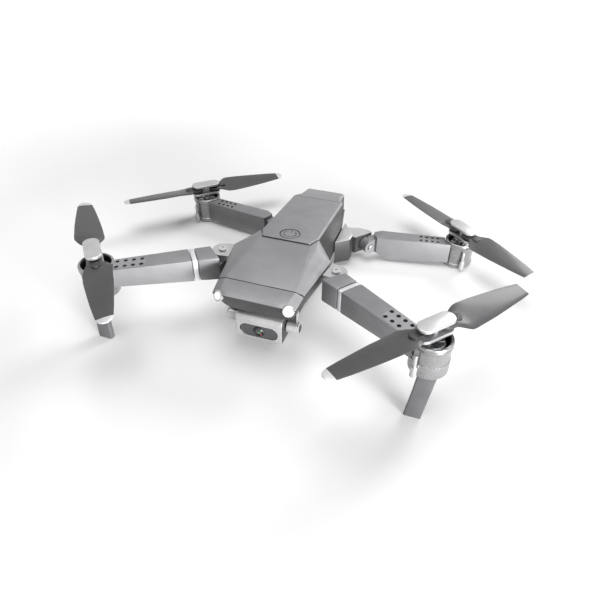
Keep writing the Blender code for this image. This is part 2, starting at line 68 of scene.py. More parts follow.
SHIFT_Y = middle("front_motor_pod_left")[1] + 64.4
FRONT_MOTOR = (middle("front_motor_pod_left")[0], -64.4)
REAR_MOTOR = (middle("rear_motor_pod_left")[0], middle("rear_motor_pod_left")[1] - SHIFT_Y)
FRONT_RIM = height("front_motor_pod_left", 1)
REAR_RIM = height("rear_motor_pod_left", 1)
FRONT_BASE = height("front_motor_pod_left", 0)
REAR_BASE = height("rear_motor_pod_left", 0)
SIDES = ((1, "left"), (-1, "right"))
print("motor axes", [round(v, 1) for v in FRONT_MOTOR + REAR_MOTOR], "shift", round(SHIFT_Y, 2))

# %% [markdown]
# ## Colour and node helpers
# A swatch is read off a colour card as an sRGB hex value, while the renderer works in linear light, so one
# function converts it. A second small function adds one shader node with its settings and its links.


# %% Colour and node helpers
def linear(hex_code):
    values = [int(hex_code[i : i + 2], 16) / 255 for i in (1, 3, 5)]
    made = [v / 12.92 if v <= 0.04045 else ((v + 0.055) / 1.055) ** 2.4 for v in values]
    return (*made, 1.0)


def add_node(tree, kind, settings=None, links=None):
    made = tree.nodes.new(kind)
    for key, value in (settings or {}).items():
        if isinstance(key, int) or key in made.inputs:
            made.inputs[key].default_value = value
        else:
            setattr(made, key, value)
    for key, source in (links or {}).items():
        tree.links.new(source, made.inputs[key])
    return made


print("mid grey in linear light:", [round(v, 3) for v in linear("#808080")])

# %% [markdown]
# ## Moulded and painted ABS
# The shells are injection-moulded ABS. The mould is spark-eroded, which leaves a fine matt grain of about a
# quarter of a millimetre, and a thin spray coat levels it a little, so wide soft highlights run along it. Each
# finish is two colours of the same swatch mixed by a slow cloud, since no moulding is perfectly even, with a
# roughness that wanders and a bump for the grain.


# %% A maker of moulded finishes
def moulded(name, dark, light, grain_mm=0.25, grain=0.05, rough=(0.36, 0.5), metallic=0.0, coat=0.0, glow=None):
    made = bpy.data.materials.new(name)
    made.use_nodes = True
    tree = made.node_tree
    shader = tree.nodes["Principled BSDF"]
    shader.inputs["Metallic"].default_value = metallic
    shader.inputs["IOR"].default_value = 1.53
    shader.inputs["Coat Weight"].default_value = coat
    shader.inputs["Coat Roughness"].default_value = 0.12
    if glow:
        shader.inputs["Emission Color"].default_value = linear("#ffffff")
        shader.inputs["Emission Strength"].default_value = glow
    spot = add_node(tree, "ShaderNodeTexCoord").outputs["Object"]
    cloud = add_node(tree, "ShaderNodeTexNoise", {"Scale": 1 / (9 * MM), "Detail": 3.0}, {"Vector": spot})
    ramp = add_node(tree, "ShaderNodeValToRGB", {}, {"Fac": cloud.outputs["Fac"]})
    ramp.color_ramp.elements[0].position = 0.3
    ramp.color_ramp.elements[1].position = 0.7
    ramp.color_ramp.elements[0].color = linear(dark)
    ramp.color_ramp.elements[1].color = linear(light)
    tree.links.new(ramp.outputs["Color"], shader.inputs["Base Color"])
    speck = add_node(tree, "ShaderNodeTexNoise", {"Scale": 1 / (grain_mm * MM), "Detail": 2.0}, {"Vector": spot})
    wander = add_node(
        tree,
        "ShaderNodeMapRange",
        {"From Min": 0.3, "From Max": 0.7, "To Min": rough[0], "To Max": rough[1]},
        {"Value": speck.outputs["Fac"]},
    )
    tree.links.new(wander.outputs["Result"], shader.inputs["Roughness"])
    bump = add_node(
        tree,
        "ShaderNodeBump",
        {"Strength": grain, "Distance": 0.05 * MM},
        {"Height": speck.outputs["Fac"]},
    )
    tree.links.new(bump.outputs["Normal"], shader.inputs["Normal"])
    return made


# %% The plastics of the craft
SHELL = moulded("sprayed_abs_titanium_grey", "#7e7e80", "#868688", 0.25, 0.06, (0.42, 0.54), 0.15, 0.05)
ARM = moulded("sprayed_abs_arm_grey", "#7c7c7e", "#848486", 0.25, 0.06, (0.38, 0.5), 0.25, 0.08)
DARK = moulded("moulded_abs_graphite", "#262627", "#2d2d2e", 0.3, 0.08, (0.42, 0.55))
SILVER = moulded("sprayed_abs_bright_silver", "#b0b0b1", "#bebebf", 0.22, 0.04, (0.24, 0.36), 0.6, 0.25)
CUP = moulded("sprayed_abs_steel_silver", "#8c8c8d", "#989899", 0.22, 0.04, (0.22, 0.32), 0.7, 0.3)
BAND = moulded("sprayed_abs_pearl_band", "#d0d0d2", "#dcdcde", 0.22, 0.03, (0.22, 0.32), 0.2, 0.4)
PALE_TIP = moulded("pad_printed_silver_ink", "#c8c8ca", "#d8d8da", 0.2, 0.03, (0.32, 0.45), 0.2)
BLADE = moulded("moulded_nylon_charcoal", "#2e2e30", "#363638", 0.35, 0.07, (0.34, 0.48), 0.0, 0.15)
RUBBERY = moulded("moulded_nylon_black", "#161617", "#1f1f20", 0.3, 0.06, (0.4, 0.6))
LAMP = moulded("moulded_polycarbonate_lamp", "#f4f4f4", "#ffffff", 0.6, 0.02, (0.08, 0.16), 0.0, 0.6, 0.55)
WINDOW = moulded("polished_acrylic_smoke", "#26272a", "#2e2f32", 0.8, 0.01, (0.04, 0.08), 0.0, 1.0)
BOARD = moulded("solder_mask_green", "#1d5a34", "#246b3e", 0.5, 0.05, (0.3, 0.4), 0.0, 0.4)
LEG = moulded("moulded_nylon_leg_grey", "#545456", "#5c5c5e", 0.3, 0.06, (0.4, 0.52))
VENT_PANEL = moulded("sprayed_abs_light_panel", "#8c8c8e", "#949496", 0.25, 0.05, (0.32, 0.44), 0.35, 0.1)
print("plastics:", len(bpy.data.materials))

# %% [markdown]
# ## Metals
# Motor cans are drawn steel, and shafts and screws are turned on a lathe. Turning leaves rings round the axis,
# here about a third of a millimetre apart, so that they still show. A metal keeps the default IOR: its colour is
# its reflection.


# %% Turned and drawn metal
def turned_metal(name, dark, light, ring_mm, rough):
    made = bpy.data.materials.new(name)
    made.use_nodes = True
    tree = made.node_tree
    shader = tree.nodes["Principled BSDF"]
    shader.inputs["Metallic"].default_value = 1.0
    spot = add_node(tree, "ShaderNodeTexCoord").outputs["Object"]
    rings = add_node(
        tree,
        "ShaderNodeTexWave",
        {"wave_type": "RINGS", "rings_direction": "Z", "Scale": 0.3 / (ring_mm * MM), "Distortion": 0.6},
        {"Vector": spot},
    )
    ramp = add_node(tree, "ShaderNodeValToRGB", {}, {"Fac": rings.outputs["Fac"]})
    ramp.color_ramp.elements[0].color = linear(dark)
    ramp.color_ramp.elements[1].color = linear(light)
    tree.links.new(ramp.outputs["Color"], shader.inputs["Base Color"])
    smear = add_node(tree, "ShaderNodeTexNoise", {"Scale": 1 / (0.8 * MM)}, {"Vector": spot})
    wander = add_node(
        tree,
        "ShaderNodeMapRange",
        {"To Min": rough - 0.08, "To Max": rough + 0.1},
        {"Value": smear.outputs["Fac"]},
    )
    tree.links.new(wander.outputs["Result"], shader.inputs["Roughness"])
    bump = add_node(
        tree,
        "ShaderNodeBump",
        {"Strength": 0.15, "Distance": 0.03 * MM},
        {"Height": rings.outputs["Fac"]},
    )
    tree.links.new(bump.outputs["Normal"], shader.inputs["Normal"])
    return made


STEEL = turned_metal("turned_stainless_steel", "#b8b8ba", "#d4d4d6", 0.35, 0.28)
CAN = turned_metal("drawn_nickel_plated_steel", "#8f9092", "#a6a7a9", 0.5, 0.35)
print("metals:", STEEL.name, CAN.name)


# %% [markdown]
# ## Coated glass
# The lens is ground glass with an anti-reflection coat. The coat sends back a faint green, strongest at a
# glancing angle, over a black barrel. That green is painted into the glass's own colour as a painted reflection:
# a dark, very smooth surface with green patches laid by a cloud. A red glint beside the lens is painted the same way.


# %% Lens glass
def coated_glass(name, core, rim):
    made = bpy.data.materials.new(name)
    made.use_nodes = True
    tree = made.node_tree
    shader = tree.nodes["Principled BSDF"]
    shader.inputs["Roughness"].default_value = 0.03
    shader.inputs["IOR"].default_value = 1.6
    shader.inputs["Coat Weight"].default_value = 1.0
    spot = add_node(tree, "ShaderNodeTexCoord").outputs["Object"]
    # This cloud lays the green patches of painted reflection over the dark glass.
    painted_glint_cloud = add_node(tree, "ShaderNodeTexNoise", {"Scale": 1 / (2.2 * MM), "Detail": 1.0}, {"Vector": spot})
    ramp = add_node(tree, "ShaderNodeValToRGB", {}, {"Fac": painted_glint_cloud.outputs["Fac"]})
    ramp.color_ramp.elements[0].position = 0.42
    ramp.color_ramp.elements[1].position = 0.62
    ramp.color_ramp.elements[0].color = linear(core)
    ramp.color_ramp.elements[1].color = linear(rim)
    tree.links.new(ramp.outputs["Color"], shader.inputs["Base Color"])
    return made


# The green in this glass is a painted reflection of the coat.
GLASS = coated_glass("ground_glass_painted_green_glint", "#0a0d0b", "#37523c")
# A red glint beside the lens is a painted reflection, laid on a small disc.
RED_GLINT = coated_glass("painted_red_lens_glint", "#3a0a12", "#8c2434")

# %% [markdown]
# ## Shape helpers
# Nearly everything is one of three shapes: a loft through rings of points, a plan outline raised between two
# heights, or a profile turned about an axis. Working in millimetres from the middle line, one function turns
# such a shape into a piece, mirrors it for the right-hand side, rounds its edges and puts it on its body.


# %% Lofts, outlines and turned shapes
def loft(rings):
    count = len(rings[0])
    points = [p for ring in rings for p in ring]
    faces = [list(reversed(range(count)))]
    for level in range(len(rings) - 1):
        base = level * count
        for i in range(count):
            j = (i + 1) % count
            faces.append([base + i, base + j, base + count + j, base + count + i])
    last = (len(rings) - 1) * count
    faces.append([last + i for i in range(count)])
    return points, faces


def prism(outline, low, high):
    under = low if callable(low) else lambda x, y: low
    over = high if callable(high) else lambda x, y: high
    ring = [(x, y, under(x, y)) for x, y in outline]
    return loft([ring, [(x, y, over(x, y)) for x, y in outline]])


def both_halves(half):
    other = [(-p[0],) + tuple(p[1:]) for p in reversed(half) if p[0] != 0]
    return list(half) + other


def turned(profile, centre, axis=(0.0, 0.0, 1.0), steps=48):
    matrix = Vector(axis).normalized().to_track_quat("Z", "Y").to_matrix()
    points = []
    rings = []
    for radius, level in profile:
        count = 1 if radius == 0 else steps
        rings.append(list(range(len(points), len(points) + count)))
        for i in range(count):
            angle = 2 * math.pi * i / steps
            spot = Vector((radius * math.cos(angle), radius * math.sin(angle), level))
            points.append(tuple(Vector(centre) + matrix @ spot))
    faces = []
    for first, second in zip(rings, rings[1:]):
        for i in range(steps):
            j = (i + 1) % steps
            corners = [
                first[i % len(first)],
                first[j % len(first)],
                second[j % len(second)],
                second[i % len(second)],
            ]
            faces.append(list(dict.fromkeys(corners)))
    return points, faces


def rod(start, end, radius, steps=32):
    span = Vector(end) - Vector(start)
    profile = [(0, 0), (radius, 0), (radius, span.length), (0, span.length)]
    return turned(profile, start, span, steps)


def merged(*shapes):
    """Several separate shapes as one, for cutters and for groups of small fittings."""
    points = []
    faces = []
    for shape in shapes:
        base = len(points)
        points += list(shape[0])
        faces += [[base + i for i in face] for face in shape[1]]
    return points, faces


def arc(centre, radius, start, end, count):
    found = []
    for i in range(count):
        angle = math.radians(start + (end - start) * i / (count - 1))
        found.append((centre[0] + radius * math.cos(angle), centre[1] + radius * math.sin(angle)))
    return found


def stadium(centre, length, width, degrees, steps=13):
    reach = (length - width) / 2
    turn = math.radians(degrees)
    dx = reach * math.cos(turn)
    dy = reach * math.sin(turn)
    ends = arc((centre[0] + dx, centre[1] + dy), width / 2, degrees - 90, degrees + 90, steps)
    return ends + arc((centre[0] - dx, centre[1] - dy), width / 2, degrees + 90, degrees + 270, steps)


def along(start, end, distance):
    share = distance / math.dist(start, end)
    return start[0] + (end[0] - start[0]) * share, start[1] + (end[1] - start[1]) * share


# %% Turn a shape into a piece
def raw_object(name, shape, side):
    points, faces = shape
    mesh = bpy.data.meshes.new(name)
    mesh.from_pydata([(side * x * MM, (y + SHIFT_Y) * MM, z * MM) for x, y, z in points], [], faces)
    work = bmesh.new()
    work.from_mesh(mesh)
    bmesh.ops.recalc_face_normals(work, faces=work.faces)
    work.to_mesh(mesh)
    work.free()
    obj = bpy.data.objects.new(name, mesh)
    bpy.context.scene.collection.objects.link(obj)
    return obj


def settle(obj):
    """Applies an object's modifiers to its mesh."""
    graph = bpy.context.evaluated_depsgraph_get()
    solid = bpy.data.meshes.new_from_object(obj.evaluated_get(graph))
    old = obj.data
    obj.modifiers.clear()
    obj.data = solid
    bpy.data.meshes.remove(old)


def smooth(obj, degrees):
    obj.data.polygons.foreach_set("use_smooth", [True] * len(obj.data.polygons))
    obj.data.set_sharp_from_angle(angle=math.radians(degrees))


def piece(
    name, shape, body, finish, side=1, stands_for=(), edge=0.0, cuts=(), joins=(), edge_steps=3, crease=25.0
):
    """A finished piece: shape, rounded edges of a width in mm, joined and cut shapes, finish and body."""
    obj = raw_object(name, shape, side)
    obj.data.materials.append(finish)
    if edge:
        bevel = obj.modifiers.new("edge", "BEVEL")
        bevel.width = edge * MM
        bevel.segments = edge_steps
        bevel.limit_method = "ANGLE"
        bevel.angle_limit = math.radians(crease)
        settle(obj)
    for operation, shapes in (("UNION", joins), ("DIFFERENCE", cuts)):
        for other in shapes:
            helper = raw_object("helper", other, side)
            step = obj.modifiers.new("step", "BOOLEAN")
            step.operation = operation
            step.solver = "EXACT"
            step.object = helper
            settle(obj)
            bpy.data.objects.remove(helper, do_unlink=True)
    smooth(obj, 24)
    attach(obj, body)
    if stands_for:
        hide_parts(*stands_for)
    return obj


def second_finish(obj, finish, test):
    """Gives the faces that pass a test of (centre, normal), in mm, another finish."""
    obj.data.materials.append(finish)
    for face in obj.data.polygons:
        spot = (face.center.x / MM, face.center.y / MM - SHIFT_Y, face.center.z / MM)
        if test(spot, face.normal):
            face.material_index = len(obj.data.materials) - 1


def dress(node, finish):
    """A CAD node that stays as it is, in its own finish."""
    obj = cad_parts[node]
    obj.data.materials.clear()
    obj.data.materials.append(finish)
    return obj


print("helpers ready")

# %% [markdown]
# ## Hood and nose
# The hood is a thin moulded cover: a flat roof that falls towards the nose, a sloping shoulder on each side and
# a darker side wall. Rings of points follow the folds at their real heights, and a loft joins them, so the
# creases stay straight while the edges get a small radius. The nose is a second moulding beyond a seam, with a
# dark front band and a pocket at each corner for a headlight.

# %% Hood
HOOD_LOW = [(0, -52.2, 28.7), (20.2, -51.0, 28.9), (25.8, -22.5, 32.0), (17.4, -9.3, 32.0), (14.3, -15.3, 32.0)]
HOOD_LOW += [(0, -15.3, 32.0)]
HOOD_EDGE = [(0, -52.2, 40.6), (23.4, -51.4, 40.2), (28.1, -21.0, 41.4), (17.3, -7.9, 44.6), (14.3, -15.3, 44.6)]
HOOD_EDGE += [(0, -15.3, 44.6)]
HOOD_TOP = [(0, -52.2, 42.2), (19.0, -52.2, 42.2), (18.5, -15.8, 44.9), (16.9, -8.6, 45.5), (14.3, -15.3, 45.7)]
HOOD_TOP += [(0, -15.3, 45.7)]
HOOD_ROOM = [(0, -50.9), (18.6, -49.4), (23.4, -24.4), (14.6, -17.0), (0, -17.0)]
hood_points, hood_faces = loft([both_halves(HOOD_LOW), both_halves(HOOD_EDGE), both_halves(HOOD_TOP)])
roof = hood_faces.pop()
for panel in ((0, 1, 4, 5, 6, 9), (1, 2, 4), (2, 3, 4), (9, 6, 8), (8, 6, 7)):
    hood_faces.append([roof[i] for i in panel])
hood = piece(
    "hood",
    (hood_points, hood_faces),
    "fuselage",
    SHELL,
    stands_for=("upper_shell",),
    edge=0.4,
    crease=8.0,
    cuts=[prism(both_halves(HOOD_ROOM), 20.0, lambda x, y: 43.2 + 0.075 * (y + 17))],
)
second_finish(hood, DARK, lambda spot, normal: normal.z < 0.12)
print("hood faces:", len(hood.data.polygons))

# %% Nose with its headlight pockets
NOSE_LOW = [(0, -58.0, 27.5), (14.5, -58.0, 27.5), (18.8, -56.6, 27.8), (20.0, -52.5, 28.6), (0, -52.5, 28.6)]
NOSE_EDGE = [(0, -63.8, 39.6), (14.5, -63.8, 39.5), (22.3, -62.2, 38.6), (23.4, -52.5, 40.1), (0, -52.5, 40.5)]
NOSE_TOP = [(0, -62.8, 41.0), (14.3, -62.8, 41.0), (17.9, -61.0, 41.2), (19.0, -52.5, 42.17), (0, -52.5, 42.17)]
NOSE_ROOM = [(0, -56.6), (16.2, -56.0), (17.6, -50.0), (0, -50.0)]
LAMP_SPOT = Vector((18.9, -62.6, 37.9))
LAMP_WAY = Vector((0.42, -0.83, 0.36)).normalized()


def mirrored(shape):
    return [(-x, y, z) for x, y, z in shape[0]], [list(reversed(face)) for face in shape[1]]


pocket = rod(LAMP_SPOT - LAMP_WAY * 1.4, LAMP_SPOT + LAMP_WAY * 3, 2.3)
nose = piece(
    "nose",
    loft([both_halves(NOSE_LOW), both_halves(NOSE_EDGE), both_halves(NOSE_TOP)]),
    "fuselage",
    DARK,
    stands_for=("nose_cap",),
    edge=0.4,
    crease=8.0,
    cuts=[prism(both_halves(NOSE_ROOM), 29.9, 38.6), pocket, mirrored(pocket)],
)
second_finish(nose, SHELL, lambda spot, normal: normal.z > 0.25 and spot[2] > 38.0)
for side, word in SIDES:
    dome = [(0, 0), (1.95, 0), (1.95, 1.3), (1.8, 1.8), (1.4, 2.15), (0.8, 2.35), (0, 2.4)]
    piece(
        f"headlight_lens_{word}",
        turned(dome, LAMP_SPOT - LAMP_WAY * 1.1, LAMP_WAY),
        "fuselage",
        LAMP,
        side,
        (f"headlight_{word}",),
    )
    bezel = [(2.05, -1.2), (3.0, -1.2), (3.0, 0.25), (2.7, 0.5), (2.2, 0.5), (2.05, 0.3), (2.05, -1.2)]
    piece(
        f"headlight_bezel_{word}",
        turned(bezel, LAMP_SPOT, LAMP_WAY),
        "fuselage",
        SILVER,
        side,
    )
print("nose and headlights")

# %% [markdown]
# ## Belly
# The belly is the tray that the battery slides onto. A pan at its front closes the hood from below. It is plain
# graphite moulding with two lines of cooling slots, since the board above it gets warm.

# %% Belly tray
BELLY_LOW = [(0, -39.5, 9.5), (10.5, -39.5, 9.5), (13.5, -34.5, 9.5), (15.2, 24.0, 9.5)]
BELLY_LOW += [(15.2, 48.0, 11.0), (12.0, 57.0, 12.0), (0, 57.5, 12.0)]
BELLY_HIGH = [(0, -39.8, 27.6), (12.6, -39.8, 27.6), (15.4, -36.0, 27.6), (15.4, 24.0, 27.6)]
BELLY_HIGH += [(15.3, 48.0, 27.6), (14.2, 60.5, 27.6), (0, 61.0, 27.6)]
PAN_LOW = [(0, -42.8, 26.0), (12.2, -42.8, 26.0), (15.0, -37.5, 26.0), (15.0, -15.6, 26.0), (0, -15.6, 26.0)]
PAN_HIGH = [(0, -51.8, 28.0), (19.6, -50.6, 28.3), (25.2, -23.4, 31.6), (13.8, -15.6, 31.6), (0, -15.6, 31.6)]
slots = [
    prism(stadium((x, y), 9.0, 1.6, 0.0, 7), 8.0, 11.0)
    for y in range(-26, 16, 6)
    for x in (-5.6, 5.6)
]
piece(
    "belly",
    loft([both_halves(BELLY_LOW), both_halves(BELLY_HIGH)]),
    "fuselage",
    DARK,
    stands_for=("lower_shell",),
    edge=0.8,
    joins=[loft([both_halves(PAN_LOW), both_halves(PAN_HIGH)])],
    cuts=[merged(*slots)],
)
dress("control_board", BOARD)
print("belly slots:", len(slots))

# %% [markdown]
# ## Battery pack
# The pack is the rear half of the craft's back. Its cover slopes to a crease, and a steeper tail panel follows.
# Cover and tail are sprayed like the hood, while the side walls are left graphite. A shallow groove marks the
# crease, and finger ribs on the rear face give the thumb a grip for pulling it out.

# %% Battery pack
PACK_LOW = [(0, -15.0, 27.9), (13.5, -15.0, 27.9), (16.4, -7.6, 27.9), (16.2, 42.0, 27.9)]
PACK_LOW += [(14.0, 51.0, 27.9), (13.2, 61.0, 27.9), (0, 61.4, 27.9)]
PACK_EDGE = [(0, -15.0, 45.3), (13.9, -15.0, 45.2), (16.9, -7.5, 44.8), (16.3, 44.4, 40.0)]
PACK_EDGE += [(13.4, 50.6, 38.7), (12.6, 62.3, 36.2), (0, 62.8, 36.2)]
PACK_TOP = [(0, -15.0, 46.4), (13.3, -15.0, 46.4), (16.1, -8.0, 45.76), (15.5, 43.9, 41.01)]
PACK_TOP += [(12.4, 50.0, 39.85), (11.9, 61.8, 37.6), (0, 62.2, 37.53)]
PLATE_SLOPE = -0.0915


def plate_z(y):
    return 46.4 + PLATE_SLOPE * (y + 15.0)


PLATE_UP = Vector((0.0, -PLATE_SLOPE, 1.0)).normalized()
BUTTON = Vector((0.0, -7.8, plate_z(-7.8)))
ROOM = [(-14.6, -12.6), (14.6, -12.6), (14.6, 40.0), (11.8, 57.0), (-11.8, 57.0), (-14.6, 40.0)]
ribs = [prism([(-9, 60.9), (9, 60.9), (9, 64.0), (-9, 64.0)], z, z + 0.7) for z in (30.0, 31.6, 33.2)]
pack_points, pack_faces = loft([both_halves(PACK_LOW), both_halves(PACK_EDGE), both_halves(PACK_TOP)])
roof = pack_faces.pop()
for panel in ((0, 1, 2, 3, 9, 10, 11), (3, 4, 5, 6, 7, 8, 9)):
    pack_faces.append([roof[i] for i in panel])
groove = prism([(-20, 44.0), (20, 44.0), (20, 44.35), (-20, 44.35)], 40.6, 50.0)
pack = piece(
    "battery_pack",
    (pack_points, pack_faces),
    "battery",
    SHELL,
    stands_for=("battery_case",),
    edge=0.35,
    crease=3.0,
    cuts=[
        prism(ROOM, 20.0, lambda x, y: plate_z(y) - (2.9 if y < 30 else 4.2)),
        rod(BUTTON - PLATE_UP * 1.7, BUTTON + PLATE_UP * 3, 5.9, 64),
        merged(*ribs),
        groove,
    ],
)
second_finish(pack, DARK, lambda spot, normal: normal.z < 0.3)
dress("battery_cell", RUBBERY)
print("pack faces:", len(pack.data.polygons))

# %% [markdown]
# ## Power button
# The button is a round cap flush with the cover, ringed by a gap that a thin black ring fills as painted shade.
# A broken ring with a short bar is the usual sign for power, printed in dark ink. Print is a film a few
# hundredths of a millimetre thick, so the mark is real but very thin shapes laid on the cap.


# %% Button cap and its mark
def on_plate(x, y, lift):
    return Vector((x, BUTTON.y + y, plate_z(BUTTON.y + y) + lift))


def flat_ring(inner, outer, start, end, low, high, steps=40):
    """A flat arc of a ring lying on the sloping cover."""
    outline = arc((0, 0), outer, start, end, steps) + arc((0, 0), inner, end, start, steps)
    return loft([[tuple(on_plate(x, y, lift)) for x, y in outline] for lift in (low, high)])


mark_bar = [(-0.28, 1.3), (0.28, 1.3), (0.28, 3.9), (-0.28, 3.9)]
cap_profile = [(0, -1.1), (5.3, -1.1), (5.3, -0.35), (5.2, -0.12), (5.0, 0.0), (0, 0.0)]
piece("power_button_cap", turned(cap_profile, BUTTON, PLATE_UP, 64), "button", SHELL, 1, ("power_button",))
piece(
    "power_mark",
    merged(
        flat_ring(3.2, 3.75, -60, 60, -0.02, 0.04),
        flat_ring(3.2, 3.75, 120, 200, -0.02, 0.04),
        flat_ring(3.2, 3.75, 212, 250, -0.02, 0.04),
        flat_ring(3.2, 3.75, 262, 290, -0.02, 0.04),
        loft([[tuple(on_plate(x, y, z)) for x, y in mark_bar] for z in (-0.02, 0.04)]),
    ),
    "button",
    RUBBERY,
)
# The black ring in the gap round the cap is painted shade.
piece("button_gap_shade", flat_ring(5.35, 5.88, 0, 359.9, -0.5, 0.05, 96), "battery", RUBBERY)
print("button at", [round(v, 1) for v in BUTTON])

# %% [markdown]
# ## Camera
# The camera hangs between two barrels that stay with the body, and tilts about them. Its housing is a profile
# with a big soft upper front edge, drawn out sideways. The front is let in for a smoked acrylic window with
# round ends, and the lens looks through a hole in it: a barrel, a stepped bezel and domed, coated glass.

# %% Camera housing
TILT = (-50.0, 16.5)
EYE_Z = 14.6
shoulder = [(-57.6 + 3.4 * (1 - math.cos(a)), 20.3 + 3.6 * math.sin(a)) for a in [math.radians(15 * i) for i in range(7)]]
HOUSING = [(-44.0, 9.0), (-56.9, 9.0), (-57.6, 9.7)] + shoulder + [(-51.0, 24.2), (-45.5, 24.2), (-44.0, 22.9)]


def window_ring(y, grow):
    return [(x, y, EYE_Z + z) for x, z in stadium((0.0, 0.0), 21.0 + grow, 7.4 + grow, 0.0, 17)]


stubs = [rod((side * 12.0, *TILT), (side * 15.5, *TILT), 1.5) for side in (1, -1)]
housing = piece(
    "camera_body",
    loft([[(x, y, z) for y, z in HOUSING] for x in (-13.0, 13.0)]),
    "camera",
    SILVER,
    1,
    ("camera_housing",),
    edge=0.55,
    joins=stubs,
    cuts=[
        loft([window_ring(-56.4, 0.6), window_ring(-60.0, 0.6)]),
        rod((0, -54.5, EYE_Z), (0, -60, EYE_Z), 3.3),
    ],
)
second_finish(housing, DARK, lambda spot, normal: abs(normal.x) > 0.9 and abs(spot[0]) < 13.2)
piece(
    "camera_glass_window",
    loft([window_ring(-56.7, 0.1), window_ring(-57.35, 0.1)]),
    "camera",
    WINDOW,
    1,
    ("camera_window",),
    edge=0.15,
    cuts=[rod((0, -50, EYE_Z), (0, -60, EYE_Z), 3.25)],
)
barrel = [(0, 0), (3.05, 0), (3.05, 2.9), (2.8, 3.2), (2.5, 3.2), (2.3, 2.5), (0, 2.5)]
piece("lens_barrel", turned(barrel, (0, -54.7, EYE_Z), (0, -1, 0)), "camera", RUBBERY, 1, ("camera_lens",))
dome = [(0, 2.55), (2.2, 2.55), (2.0, 2.8), (1.6, 3.05), (1.0, 3.25), (0, 3.35)]
piece("lens_glass", turned(dome, (0, -54.7, EYE_Z), (0, -1, 0)), "camera", GLASS)
# This small red disc beside the lens is a painted reflection.
piece("lens_red_glint", rod((1.5, -57.75, 13.2), (1.5, -58.0, 13.2), 0.5), "camera", RED_GLINT)
print("camera profile points:", len(HOUSING))

# %% Camera side barrels
for side, word in SIDES:
    drum = [(0, 0), (3.1, 0), (3.4, 0.3), (3.4, 5.6), (3.1, 5.8), (3.1, 6.2), (3.35, 6.4), (3.2, 6.9), (2.5, 7.0), (2.4, 6.7), (0, 6.7)]
    strut = [(14.2, -50.4), (18.6, -50.4), (18.6, -46.4), (14.2, -46.4)]
    barrel = piece(
        f"camera_barrel_{word}",
        turned(drum, (13.5, *TILT), (1, 0, 0)),
        "fuselage",
        SILVER,
        side,
        (f"camera_mount_{word}",),
        joins=[prism(strut, TILT[1], lambda x, y: 25.5 - 0.22 * (y + 42.8))],
        cuts=[rod((12.0, *TILT), (16.0, *TILT), 1.85)],
    )
    # The strut above the barrel gets the graphite finish as painted shade, for the shadow it lies in.
    second_finish(barrel, DARK, lambda spot, normal: spot[2] > TILT[1] + 3.45)
    piece(f"barrel_plug_{word}", rod((20.15, *TILT), (20.6, *TILT), 2.2), "fuselage", DARK, side)
print("camera barrels")

# %% [markdown]
# ## Motor cups
# Each arm ends in an open cup that holds the motor. Two raised beads run round its mouth, which stiffen the rim
# and catch the light as two bright lines. A cup is a profile turned on the motor's axis. Its slim light pipe, a
# clear-capped tube in a collar, stands on its outside.


# %% Motor, cup and light pipe
def motor_cup(end, side, word, centre, rim, base, pipe_angle):
    body = f"{end}_arm_{word}"
    floor = base + 2.0
    wall = [
        (0, base),
        (8.2, base),
        (8.9, base + 0.25),
        (9.4, base + 0.9),
        (9.4, base + 7.6 if end == "front" else base + 3.0),
        (9.3, base + 7.9 if end == "front" else base + 3.2),
        (9.0, base + 8.1 if end == "front" else base + 3.4),
        (9.0, rim - 3.5),
        (9.25, rim - 3.2),
        (9.45, rim - 2.8),
        (9.45, rim - 2.4),
        (9.15, rim - 2.05),
        (9.05, rim - 1.9),
        (9.15, rim - 1.75),
        (9.45, rim - 1.4),
        (9.45, rim - 0.7),
        (9.2, rim - 0.15),
        (8.9, rim),
        (8.1, rim),
        (7.8, rim - 0.3),
        (7.8, floor),
        (0, floor),
    ]
    cup = piece(
        f"{end}_motor_cup_{word}",
        turned(wall, (*centre, 0.0), steps=72),
        body,
        CUP,
        side,
        (f"{end}_motor_pod_{word}",),
    )
    # The inside wall and floor of the cup get the black finish: painted shade in the hollow round the motor.
    inside = (centre[0] * side, centre[1])
    second_finish(
        cup,
        RUBBERY,
        lambda spot, normal: math.dist(spot[:2], inside) < 7.95 and spot[2] > floor - 0.5,
    )
    can = [
        (0, floor + 0.3),
        (6.2, floor + 0.3),
        (6.2, rim - 3.0),
        (5.9, rim - 2.4),
        (5.2, rim - 2.2),
        (5.0, rim - 3.4),
        (2.6, rim - 3.4),
        (2.4, rim - 1.9),
        (1.9, rim - 0.9),
        (1.1, rim - 0.8),
        (1.1, rim + 1.1),
        (0, rim + 1.1),
    ]
    piece(
        f"{end}_motor_can_{word}",
        turned(can, (*centre, 0.0), steps=48),
        body,
        CAN,
        side,
        (f"{end}_motor_{word}",),
    )
    spokes = []
    for i in range(6):
        turn = math.radians(60 * i + 15)
        inner = Vector((centre[0] + 2.2 * math.cos(turn), centre[1] + 2.2 * math.sin(turn), rim - 2.7))
        outer = Vector((centre[0] + 5.4 * math.cos(turn), centre[1] + 5.4 * math.sin(turn), rim - 2.7))
        spokes.append(rod(inner, outer, 0.45, 10))
    piece(f"{end}_motor_spokes_{word}", merged(*spokes), body, STEEL, side)
    turn = math.radians(pipe_angle)
    foot = (centre[0] + 10.9 * math.cos(turn), centre[1] + 10.9 * math.sin(turn), base + 1.0)
    pipe = [
        (0, 0),
        (1.2, 0),
        (1.6, 0.5),
        (1.6, 5.8),
        (1.45, 6.2),
        (0.95, 6.4),
        (0.9, 12.2),
        (0.7, 12.8),
        (0, 13.0),
    ]
    piece(
        f"{end}_light_tube_{word}",
        turned(pipe, foot, steps=28),
        body,
        SILVER,
        side,
        (f"{end}_light_pipe_{word}",),
    )


